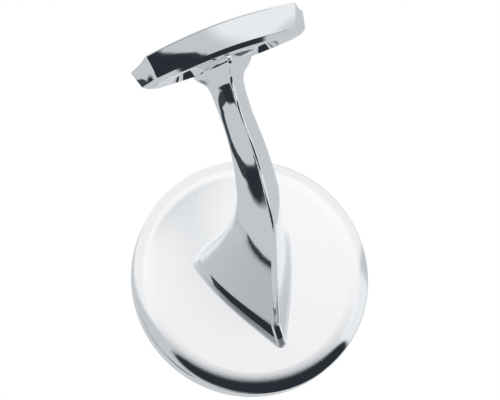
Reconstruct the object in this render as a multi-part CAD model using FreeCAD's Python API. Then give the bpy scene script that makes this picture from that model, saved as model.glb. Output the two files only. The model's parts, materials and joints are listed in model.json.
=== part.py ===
import FreeCAD, Part
import os
from math import atan, cos, hypot, radians, sin, tan

# Handrail bracket: one polished zinc die casting with a round rose, a curved arm and a saddle.
#
# Millimetres, +Z up. X runs along the handrail, the wall is the plane Y = 0 and the arm reaches
# out along -Y. The origin is the middle of the rose's back, where the wall fixing screws in.
# "Reach" is a distance from the wall, "height" a distance above the middle of the rose.

Vec = FreeCAD.Vector

# ---- driving dimensions, mm ------------------------------------------------------------------
# Rose, the round plate on the wall
rose_radius = 35.0
rim_height = 5.6            # height of the round edge
crown_rise = 0.25           # how far the middle of the face crowns
roll_width = 6.0        # the face rolls over to the rim across this width
roll_drop = 1.65            # and drops by this much
rim_edge_radius = 0.5

# Hollow back of the rose
rim_wall = 3.0              # wall left round the hollow
hollow_depth = 3.2
boss_radius = 13.0          # seat of the wall fixing

# Blind tapping hole for an M8 hanger bolt
bolt_bore_radius = 3.4
bolt_bore_depth = 16.0
drill_point_depth = 2.0

# Root of the arm where it stands on the rose
root_height = 8.0           # height of its widest line
foot_half_width = 14.7      # outline on the face of the rose
foot_keel = 30.6            # from the widest line down to the tip
foot_back = 7.0             # from the widest line up to the top
root_flare = 1.5            # how far the foot spreads down to the height of the rim
flare_rise = 0.7            # the flare starts this far above the crest of the face
shoulder_rise = 3.0         # the sloping skirt climbs this far from the face
shoulder_half_width = 13.3
shoulder_keel = 25.0
shoulder_back = 6.0

# Arm: where its widest line passes, and how far it reaches to each side of it
run_set_back, run_rise = 33.5, 2.6          # end of the run straight out: from the head, above the root
run_half_width, run_keel, run_back = 7.6, 13.2, 4.4
elbow_set_back, elbow_drop = 15.0, 27.6     # middle of the bend: from the head, below the underside
elbow_half_width, elbow_keel, elbow_back = 5.6, 7.2, 3.8
neck_set_back, neck_drop = 7.5, 11.3        # slimmest place: from the head, below the underside
neck_half_width, neck_keel, neck_back = 4.5, 5.3, 3.6
head_set_back = 4.5         # its top stands this far to the wall side of the saddle's middle
side_bow = 8.0              # angle by which the sides of the arm bulge, degrees
arm_section_count = 26      # cross-sections that the arm is drawn through

# Saddle, the plate under the handrail
saddle_reach = 77.0         # wall to the middle of the saddle
saddle_top = 53.2           # height of the seat's lowest line above the middle of the rose
seat_radius = 46.0          # hollow of the seat, about a line along the handrail
saddle_half_length = 25.3
saddle_corner_length = 21.5     # half length at the corners of the long sides
saddle_corner_depth = 8.7       # half depth at those corners
saddle_side_sag = 3.1           # how far the long sides bow out between the corners
saddle_thickness = 5.8          # at the ends
saddle_belly = 0.8              # extra thickness in the middle
keel_radius = 22.0              # roundness of the underside across the saddle
side_draft = 4.7                # how far the long sides slope in, going down
end_draft = 1.5                 # the same for the ends
draft_at_seat = 0.88            # share of the sides' mean slope that they start with at the seat
hull_section_count = 8          # steps in height that the sides are drawn through
hull_above = 0.6                # the uncut sides rise this share of the depth above the seat
lower_bevel = 1.0               # bevel between the sides and the underside
saddle_edge_radius = 0.3

# Two countersunk holes for 4.5 mm wood screws up into the handrail
screw_spacing = 22.0
screw_hole_radius = 2.4
screw_head_radius = 4.6
screw_head_sink = 0.3           # the heads sit this far inside the underside
driver_room = 8.0               # kept clear below each head

face_height = rim_height + roll_drop + crown_rise
shoulder_reach = face_height + shoulder_rise
saddle_depth = saddle_thickness + saddle_belly
underside = saddle_top - saddle_depth


# ---- arm -------------------------------------------------------------------------------------
def shield(reach, height, lean, half_width, keel, back):
    """Closed section of the arm: a narrow ridge below, two round corners and a crowned back.

    It stands on the arm's widest line at reach and height, where that line has turned up by
    lean degrees from straight out. The radii grow with the width.
    """
    middle = Vec(0, -reach, height)
    up = Vec(0, sin(radians(lean)), cos(radians(lean)))
    corner = 0.6 + 0.2 * half_width
    ridge = 0.4 + 0.09 * half_width
    bow = radians(side_bow)

    def place(point):
        return middle + Vec(point.x, 0, 0) + up * point.y

    inset = half_width - corner
    circles = [(Vec(inset, 0, 0), corner), (Vec(0, ridge - keel, 0), ridge), (Vec(-inset, 0, 0), corner)]
    bows = [bow, bow, 2 * atan((back - corner) / inset)]
    sides = []
    for i in range(3):
        (start, start_radius), (stop, stop_radius) = circles[i], circles[(i + 1) % 3]
        along = (stop - start).normalize()
        leaves = turned(along, bows[i])
        meets = turned(along, -bows[i])
        first = start + outward(leaves) * start_radius
        last = stop + outward(meets) * stop_radius
        handle = (last - first).Length / 3 / cos(bows[i] / 2) ** 2
        sides.append((first, leaves, last, meets, handle))
    edges = []
    for i in range(3):
        first, leaves, last, meets, handle = sides[i]
        curve = Part.BezierCurve()
        curve.setPoles([place(p) for p in (first, first + leaves * handle, last - meets * handle, last)])
        edges.append(curve.toShape())
        centre, radius = circles[(i + 1) % 3]
        following = sides[(i + 1) % 3]
        crest = centre + (outward(meets) + outward(following[1])).normalize() * radius
        edges.append(Part.Arc(place(last), place(crest), place(following[0])).toShape())
    return Part.Wire(edges)


def turned(direction, angle):
    """The direction turned anticlockwise in the section's plane."""
    return Vec(
        direction.x * cos(angle) - direction.y * sin(angle),
        direction.x * sin(angle) + direction.y * cos(angle),
        0,
    )


def outward(direction):
    """Outward side of a direction that runs clockwise round the section."""
    return Vec(-direction.y, direction.x, 0)


def eased_slopes(places, values):
    """Slope at each key that keeps a column of values from swinging past its keys."""
    rises = [(values[i + 1] - values[i]) / (places[i + 1] - places[i]) for i in range(len(values) - 1)]
    slopes = [rises[0]]
    for before, after in zip(rises, rises[1:]):
        slopes.append(2 * before * after / (before + after) if before * after > 0 else 0.0)
    return slopes + [rises[-1]]


def eased(keys, count):
    """Rows at even steps along the arm that pass smoothly through the key rows."""
    places = [0.0]
    for first, second in zip(keys, keys[1:]):
        places.append(places[-1] + hypot(second[0] - first[0], second[1] - first[1]))
    columns = list(zip(*keys))
    slopes = [eased_slopes(places, column) for column in columns]
    rows = []
    for step in range(count + 1):
        place = places[-1] * step / count
        k = max(i for i in range(len(keys) - 1) if places[i] <= place)
        gap = places[k + 1] - places[k]
        u = (place - places[k]) / gap
        row = []
        for column, slope in zip(columns, slopes):
            leaving = (1 - u) ** 2 * ((1 + 2 * u) * column[k] + u * gap * slope[k])
            meeting = u ** 2 * ((3 - 2 * u) * column[k + 1] - (1 - u) * gap * slope[k + 1])
            row.append(leaving + meeting)
        rows.append(row)
    return rows


def between(start, stop, share):
    """The value a share of the way from start to stop."""
    return start + (stop - start) * share


def skirt():
    """Foot round the root of the arm: a small flare off the face, then a slope to the shoulder."""
    foot = (foot_half_width, foot_keel, foot_back)
    flared = [size + root_flare for size in foot]
    wires = [
        shield(rim_height, root_height, 0, *flared),
        shield(face_height + flare_rise, root_height, 0, *foot),
        shield(shoulder_reach, root_height, 0, shoulder_half_width, shoulder_keel, shoulder_back),
    ]
    return Part.makeLoft(wires, True, True)


def arm():
    """The arm from the shoulder out and up to where it spreads into the saddle."""
    head_reach = saddle_reach - head_set_back
    neck_reach, neck_height = head_reach - neck_set_back, underside - neck_drop
    elbow_reach, elbow_height = head_reach - elbow_set_back, underside - elbow_drop
    run_reach, run_height = head_reach - run_set_back, root_height + run_rise
    keys = [
        # reach, height, lean, half width, keel, back
        (shoulder_reach, root_height, 0, shoulder_half_width, shoulder_keel, shoulder_back),
        (between(shoulder_reach, run_reach, 0.5), between(root_height, run_height, 0.31), 4, 10.2, 18.6, 5.2),
        (run_reach, run_height, 12, run_half_width, run_keel, run_back),
        (between(run_reach, elbow_reach, 0.62), between(run_height, elbow_height, 0.36), 27, 6.4, 9.8, 4.0),
        (elbow_reach, elbow_height, 46, elbow_half_width, elbow_keel, elbow_back),
        (between(elbow_reach, neck_reach, 0.7), between(elbow_height, neck_height, 0.48), 68, 4.9, 5.9, 3.6),
        (neck_reach, neck_height, 78, neck_half_width, neck_keel, neck_back),
        (between(neck_reach, head_reach, 0.28), underside - 4.8, 80, 4.8, 6.8, 3.4),
        (between(neck_reach, head_reach, 0.57), underside - 1.6, 84, 6.0, 8.8, 3.4),
        (between(neck_reach, head_reach, 0.81), underside + 0.2, 88, 8.2, 11.1, 3.6),
        (between(neck_reach, head_reach, 0.93), underside + 1.5, 90, 10.6, 12.4, 4.0),
        (head_reach, underside + 3.2, 90, 11.0, 12.0, 4.2),
    ]
    wires = [shield(*row) for row in eased(keys, round(arm_section_count))]
    return Part.makeLoft(wires, True, False, False, 3)


# ---- rose ------------------------------------------------------------------------------------
def rose():
    """Round plate, nearly flat, whose face rolls over to the rim, turned about the Y axis."""
    crest = Vec(0, -face_height, 0)
    roll_start = Vec(rose_radius - roll_width, crown_rise - face_height, 0)
    edge = Vec(rose_radius, -rim_height, 0)
    crown_slope = atan(2 * crown_rise / roll_start.x)
    outline = [
        Part.LineSegment(Vec(0, 0, 0), Vec(rose_radius, 0, 0)),
        Part.LineSegment(Vec(rose_radius, 0, 0), edge),
        arc_from(roll_start, edge, crown_slope),
        arc_from(crest, roll_start, 0),
        Part.LineSegment(crest, Vec(0, 0, 0)),
    ]
    profile = Part.Face(Part.Wire([line.toShape() for line in outline]))
    plate = profile.revolve(Vec(0, 0, 0), Vec(0, 1, 0), 360)
    wide = 2 * rose_radius - 0.01
    rims = [e for e in plate.Edges if e.BoundBox.YLength < 0.01 and e.BoundBox.XLength > wide]
    return plate.makeFillet(rim_edge_radius, rims)


def arc_from(start, stop, slope):
    """Arc of the face's profile that leaves start at a slope towards the wall."""
    chord = stop - start
    half_turn = atan(chord.y / chord.x) - slope
    sag = chord.Length / 2 * tan(half_turn / 2)
    bulge = Vec(chord.y, -chord.x, 0).normalize() * sag
    return Part.Arc(start, (start + stop) / 2 + bulge, stop)


# ---- saddle ----------------------------------------------------------------------------------
def boat(height, shrink):
    """Outline of the saddle at a height. shrink is 0 at the seat and 1 at the bottom of the ends."""
    corner_x = saddle_corner_length - end_draft * shrink
    steepening = (1 - draft_at_seat) * max(shrink, 0) ** 2
    corner_y = saddle_corner_depth - side_draft * (draft_at_seat * shrink + steepening)
    tip_x = saddle_half_length - end_draft * shrink

    def at(x, y):
        return Vec(x, y - saddle_reach, height)

    edges = []
    for side in (1, -1):
        start = at(-corner_x * side, -corner_y * side)
        stop = at(corner_x * side, -corner_y * side)
        tip = at(tip_x * side, 0)
        edges.append(Part.Arc(start, at(0, -(corner_y + saddle_side_sag) * side), stop).toShape())
        edges.append(Part.LineSegment(stop, tip).toShape())
        edges.append(Part.LineSegment(tip, at(corner_x * side, corner_y * side)).toShape())
    return Part.Wire(edges)


def barrel():
    """Solid of revolution along the saddle whose lowest side is the saddle's rounded underside."""
    reach = 1.3 * saddle_half_length
    drop = saddle_belly * (reach / saddle_half_length) ** 2
    axis = Vec(0, -saddle_reach, underside + keel_radius)
    crest = axis + Vec(0, 0, keel_radius)
    left, right = axis + Vec(-reach, 0, 0), axis + Vec(reach, 0, 0)
    rise = Vec(0, 0, keel_radius - drop)
    outline = [
        Part.Arc(left + rise, crest, right + rise),
        Part.LineSegment(right + rise, right),
        Part.LineSegment(right, left),
        Part.LineSegment(left, left + rise),
    ]
    return Part.Face(Part.Wire([line.toShape() for line in outline])).revolve(axis, Vec(1, 0, 0), 360)


def saddle():
    """Boat-shaped plate: sloping sides, a hollow seat and an underside rounded both ways."""
    steps = round(hull_section_count)
    levels = [step / steps * (1 + hull_above) - hull_above for step in range(steps + 1)]
    outlines = [boat(saddle_top - saddle_depth * t, saddle_depth / saddle_thickness * t) for t in levels]
    span = 4 * saddle_half_length
    rail_end = Vec(-span / 2, -saddle_reach, saddle_top + seat_radius)
    rail = Part.makeCylinder(seat_radius, span, rail_end, Vec(1, 0, 0))
    plate = Part.makeLoft(outlines, True, False, False, 3).common(barrel()).cut(rail)
    bottom = [e for e in plate.Edges if e.BoundBox.ZMax < underside + saddle_depth / 3]
    plate = plate.makeChamfer(lower_bevel, bottom)
    return plate.makeFillet(saddle_edge_radius, plate.Edges)


# ---- holes -----------------------------------------------------------------------------------
def screw_cut(x):
    """Clearance hole, countersink and head access of one wood screw, driven from below."""
    rise = saddle_belly * (x / saddle_half_length) ** 2
    mouth = Vec(x, -saddle_reach, underside + rise + screw_head_sink)
    up = Vec(0, 0, 1)
    shank = Part.makeCylinder(screw_hole_radius, 2 * saddle_depth, mouth, up)
    sink_depth = screw_head_radius - screw_hole_radius
    sink = Part.makeCone(screw_head_radius, screw_hole_radius, sink_depth, mouth, up)
    access = Part.makeCylinder(screw_head_radius, driver_room, mouth, -up)
    return shank.fuse(sink).fuse(access)


def back_hollow():
    """Ring-shaped hollow in the back of the rose, between its rim and the boss."""
    inward = Vec(0, -1, 0)
    hollow = Part.makeCylinder(rose_radius - rim_wall, hollow_depth, Vec(0, 0, 0), inward)
    boss = Part.makeCylinder(boss_radius, hollow_depth, Vec(0, 0, 0), inward)
    return hollow.cut(boss)


def bolt_hole():
    """Blind hole for the hanger bolt, with a drill point."""
    inward = Vec(0, -1, 0)
    bore = Part.makeCylinder(bolt_bore_radius, bolt_bore_depth, Vec(0, 0, 0), inward)
    point = Part.makeCone(bolt_bore_radius, 0, drill_point_depth, Vec(0, -bolt_bore_depth, 0), inward)
    return bore.fuse(point)


def casting():
    """The whole bracket."""
    shape = rose().fuse([skirt(), arm(), saddle()])
    for x in (-screw_spacing / 2, screw_spacing / 2):
        shape = shape.cut(screw_cut(x))
    return shape.cut(back_hollow()).cut(bolt_hole()).removeSplitter()


os.makedirs("parts", exist_ok=True)
bracket = casting()
print("solids", len(bracket.Solids), "valid", bracket.isValid(), "volume", round(bracket.Volume))
bracket.exportStep("parts/bracket_casting.step")
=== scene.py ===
# %% [markdown]
# # A chrome handrail bracket, dressed and lit
#
# The bracket is one zinc die casting: a round rose that lies on the wall, an arm that leaves
# it and turns up, and a saddle that is screwed to the underside of the rail. Its shape comes
# ready made from CAD. What is left for Blender is the plating, and, because polished chrome
# has no look of its own, the studio that it mirrors.

import json
from math import cos, radians, sin

import bpy
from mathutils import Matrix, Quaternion, Vector

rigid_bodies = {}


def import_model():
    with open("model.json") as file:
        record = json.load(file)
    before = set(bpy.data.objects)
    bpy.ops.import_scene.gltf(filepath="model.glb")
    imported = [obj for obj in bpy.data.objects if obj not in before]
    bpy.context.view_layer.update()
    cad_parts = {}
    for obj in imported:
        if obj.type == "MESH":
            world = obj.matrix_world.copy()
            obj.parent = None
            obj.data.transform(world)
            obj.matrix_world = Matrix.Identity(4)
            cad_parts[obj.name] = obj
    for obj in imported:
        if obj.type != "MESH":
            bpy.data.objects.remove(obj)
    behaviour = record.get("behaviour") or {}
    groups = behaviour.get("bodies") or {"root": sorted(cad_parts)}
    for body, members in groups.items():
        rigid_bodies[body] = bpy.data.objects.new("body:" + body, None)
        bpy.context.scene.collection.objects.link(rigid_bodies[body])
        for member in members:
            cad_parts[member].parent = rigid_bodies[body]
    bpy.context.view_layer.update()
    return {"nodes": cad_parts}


for leftover in list(bpy.data.objects):
    bpy.data.objects.remove(leftover)

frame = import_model()
casting = frame["nodes"]["bracket_casting"]

# %% [markdown]
# ## Two small helpers
#
# Colours are written as the hex codes of a paint chart, which are display values. Shaders
# reckon in linear light, so one function converts them. Another adds a shader node together
# with its settings and its incoming links, which keeps every material down to a few lines.


# %% Colour and node helpers
def from_hex(code):
    """Linear RGBA of an sRGB hex colour such as "8fa0b1"."""
    channels = []
    for place in (0, 2, 4):
        value = int(code[place:place + 2], 16) / 255
        channels.append(value / 12.92 if value <= 0.04045 else ((value + 0.055) / 1.055) ** 2.4)
    return (*channels, 1.0)


def add_node(tree, kind, settings=None, **inputs):
    """Adds a node. inputs are numbers, colours or output sockets, with _ for a blank in a name."""
    node = tree.nodes.new(kind)
    for name, value in (settings or {}).items():
        setattr(node, name, value)
    for name, value in inputs.items():
        socket = node.inputs[int(name[1:])] if name[1:].isdigit() else node.inputs[name.replace("_", " ")]
        if isinstance(value, bpy.types.NodeSocket):
            tree.links.new(value, socket)
        else:
            socket.default_value = value
    return node


print("mid grey is", [round(c, 3) for c in from_hex("808080")])

# %% [markdown]
# ## The plating
#
# Decorative chrome is a bright, slightly cool metal over polished nickel. On the arm and the
# saddle it is a true mirror, so its roughness is next to nothing. A hand polisher never gets
# a casting perfectly even, so the surface swells and dips by about two hundredths of a
# millimetre over about ten millimetres, which makes the long reflections waver. The face of the rose
# was turned before it was plated: its middle is a little satin, and only its rolled edge is
# bright.

# %% Chrome plate on the casting
MM = 0.001
SATIN_RADIUS = 31.0 * MM     # the satin middle of the rose's face reaches this far
BRIGHT_RADIUS = 33.0 * MM    # from here out the rolled edge is bright
FACE_DEPTH = 9 * MM          # the rose is this deep, the arm lies beyond it
MIRROR_ROUGHNESS = 0.05
SATIN_ROUGHNESS = 0.3
SWELL_LENGTH = 11 * MM       # from one swell of the polished surface to the next
SWELL_HEIGHT = 0.018 * MM

plating = bpy.data.materials.new("polished_chrome_plate")
plating.use_nodes = True
tree = plating.node_tree
tree.nodes.clear()

where = add_node(tree, "ShaderNodeTexCoord").outputs["Object"]
axes = add_node(tree, "ShaderNodeSeparateXYZ", _0=where)
flat = add_node(tree, "ShaderNodeCombineXYZ", X=axes.outputs["X"], Y=axes.outputs["Z"])
radius = add_node(tree, "ShaderNodeVectorMath", {"operation": "LENGTH"}, _0=flat.outputs[0])
middle = add_node(
    tree, "ShaderNodeMapRange", {"interpolation_type": "SMOOTHSTEP"}, Value=radius.outputs["Value"],
    From_Min=SATIN_RADIUS, From_Max=BRIGHT_RADIUS, To_Min=1.0, To_Max=0.0,
)
on_rose = add_node(
    tree, "ShaderNodeMath", {"operation": "GREATER_THAN"}, _0=axes.outputs["Y"], _1=-FACE_DEPTH,
)
satin = add_node(
    tree, "ShaderNodeMath", {"operation": "MULTIPLY"}, _0=middle.outputs["Result"], _1=on_rose.outputs[0],
)
roughness = add_node(
    tree, "ShaderNodeMapRange", Value=satin.outputs[0], To_Min=MIRROR_ROUGHNESS, To_Max=SATIN_ROUGHNESS,
)
swell = add_node(tree, "ShaderNodeTexNoise", Vector=where, Scale=1 / SWELL_LENGTH, Detail=1.0)
uneven = add_node(
    tree, "ShaderNodeBump", Height=swell.outputs["Fac"], Distance=SWELL_HEIGHT, Strength=1.0,
)
tint = add_node(
    tree, "ShaderNodeMix", {"data_type": "RGBA"},
    _0=satin.outputs[0], _6=from_hex("eceef0"), _7=from_hex("fdfeff"),
)
chrome = add_node(
    tree, "ShaderNodeBsdfPrincipled", Base_Color=tint.outputs[2], Metallic=1.0,
    Roughness=roughness.outputs["Result"], Normal=uneven.outputs["Normal"],
)
add_node(tree, "ShaderNodeOutputMaterial", Surface=chrome.outputs["BSDF"])

for slot in casting.material_slots:
    slot.material = plating
print("plating:", len(tree.nodes), "nodes on", casting.name)

# %% [markdown]
# ## The studio
#
# A chrome part is lit by what stands round it. Photographers build it a white tent, and hang
# black cards where the metal needs an edge. Here the tent is the world itself: a pale grey
# all round, with bigger and smaller cards laid over it. Each card is a soft-edged patch on
# the sky sphere, given by where it hangs, how large it is and how bright.
#
# To the camera the world is plain white, so the background stays clean.

# %% The tent and its cards
world = bpy.data.worlds.new("white_tent")
world.use_nodes = True
bpy.context.scene.world = world
tree = world.node_tree
tree.nodes.clear()
sky = add_node(tree, "ShaderNodeTexCoord").outputs["Generated"]
tent = add_node(tree, "ShaderNodeRGB")
tent.outputs[0].default_value = from_hex("d0d3d6")
seen = tent.outputs[0]

# name, azimuth, elevation, half width, half height, tilt (all degrees), edge 0 to 1, colour
CARDS = [
    ("overhead white", 0, 78, 80, 70, 0, 0.30, "ffffff"),
    ("front white", 22, 30, 78, 36, 0, 0.10, "ffffff"),
    ("right low white", 42, -32, 32, 34, 0, 0.20, "fafbfc"),
    ("front black", 6, -30, 42, 18, -22, 0.12, "2c3238"),
    ("left black", -100, -8, 8, 24, 24, 0.25, "3c4449"),
    ("left low black", -80, -30, 28, 12, 0, 0.25, "2c3238"),
    ("floor black", -14, -83, 36, 19, -41, 0.06, "2c3238"),
]


def hang_card(below, name, azimuth, elevation, half_width, half_height, tilt, edge, colour):
    """Lays one card over the colour below it. Azimuth 0 is straight out of the wall."""
    turn, rise = radians(azimuth), radians(elevation)
    centre = Vector((sin(turn) * cos(rise), -cos(turn) * cos(rise), sin(rise)))
    spin = centre.to_track_quat("Z", "Y") @ Quaternion((0, 0, 1), radians(tilt))
    placed = add_node(
        tree, "ShaderNodeMapping", {"vector_type": "TEXTURE", "label": name}, Vector=sky, Location=centre,
        Rotation=spin.to_euler(), Scale=(sin(radians(half_width)), sin(radians(half_height)), 1.0),
    )
    ball = add_node(tree, "ShaderNodeTexGradient", {"gradient_type": "SPHERICAL"}, Vector=placed.outputs[0])
    mask = add_node(
        tree, "ShaderNodeMapRange", {"interpolation_type": "SMOOTHSTEP"},
        Value=ball.outputs["Fac"], From_Min=0.0, From_Max=edge,
    )
    mixed = add_node(
        tree, "ShaderNodeMix", {"data_type": "RGBA"},
        _0=mask.outputs["Result"], _6=below, _7=from_hex(colour),
    )
    return mixed.outputs[2]


for card in CARDS:
    seen = hang_card(seen, *card)

rays = add_node(tree, "ShaderNodeLightPath")
backdrop = add_node(tree, "ShaderNodeBackground", Color=(1, 1, 1, 1), Strength=1.0)
lit = add_node(tree, "ShaderNodeBackground", Color=seen, Strength=1.0)
both = add_node(
    tree, "ShaderNodeMixShader", _0=rays.outputs["Is Camera Ray"], _1=lit.outputs[0], _2=backdrop.outputs[0],
)
add_node(tree, "ShaderNodeOutputWorld", Surface=both.outputs[0])
print("tent:", len(CARDS), "cards")

# %% [markdown]
# ## The floor
#
# The bracket belongs on a wall, a little above eye level here, so the floor lies below the
# camera. It is a pale sheet that catches a soft shadow in the views from above. It is kept
# out of the reflections, because the tent already stands for it there.

# %% Floor and lamp
FLOOR_HEIGHT = -0.45
FLOOR_SIZE = 8.0
LAMP_PLACE = (0.3, -0.5, 0.9)
LAMP_AIM = Vector((0, -0.04, 0))    # the middle of the bracket
LAMP_SIZE = 0.6
LAMP_POWER = 4.0

bpy.ops.object.select_all(action="DESELECT")
bpy.ops.mesh.primitive_plane_add(size=FLOOR_SIZE, location=(0, 0, FLOOR_HEIGHT))
floor = bpy.context.object
floor.name = "studio_floor"
paper = bpy.data.materials.new("matt_white_paper")
paper.use_nodes = True
paper.node_tree.nodes["Principled BSDF"].inputs["Base Color"].default_value = from_hex("f4f4f4")
paper.node_tree.nodes["Principled BSDF"].inputs["Roughness"].default_value = 0.9
floor.data.materials.append(paper)
floor.visible_glossy = False

bpy.ops.object.light_add(type="AREA", location=LAMP_PLACE)
lamp = bpy.context.object
lamp.data.shape = "DISK"
lamp.data.size = LAMP_SIZE
lamp.data.energy = LAMP_POWER
lamp.rotation_euler = (LAMP_AIM - lamp.location).to_track_quat("-Z", "Y").to_euler()
lamp.visible_glossy = False
print("floor at", FLOOR_HEIGHT, "m, lamp", lamp.data.energy, "W")

# %% [markdown]
# ## The camera
#
# The bracket is seen from below and from its left, with the camera rolled so that the arm
# leans. A long lens from 0.7 m keeps the circle of the rose round.

# %% Camera
VIEW_AZIMUTH, VIEW_ELEVATION, ROLL = -13.5, -9.0, 22.8
DISTANCE = 0.7
LENS = 170.35
AIM = Vector((8.52, -5.53, 21.37)) * MM

turn, rise = radians(VIEW_AZIMUTH), radians(VIEW_ELEVATION)
forward = Vector((-sin(turn) * cos(rise), cos(turn) * cos(rise), -sin(rise)))
facing = forward.to_track_quat("-Z", "Y") @ Quaternion((0, 0, 1), -radians(ROLL))
bpy.ops.object.camera_add(location=AIM - forward * DISTANCE, rotation=facing.to_euler())
camera = bpy.context.object
camera.data.lens = LENS
camera.data.clip_start = 0.01
bpy.context.scene.camera = camera
bpy.context.scene.view_settings.view_transform = "Standard"
print("camera at", [round(c, 3) for c in camera.location])
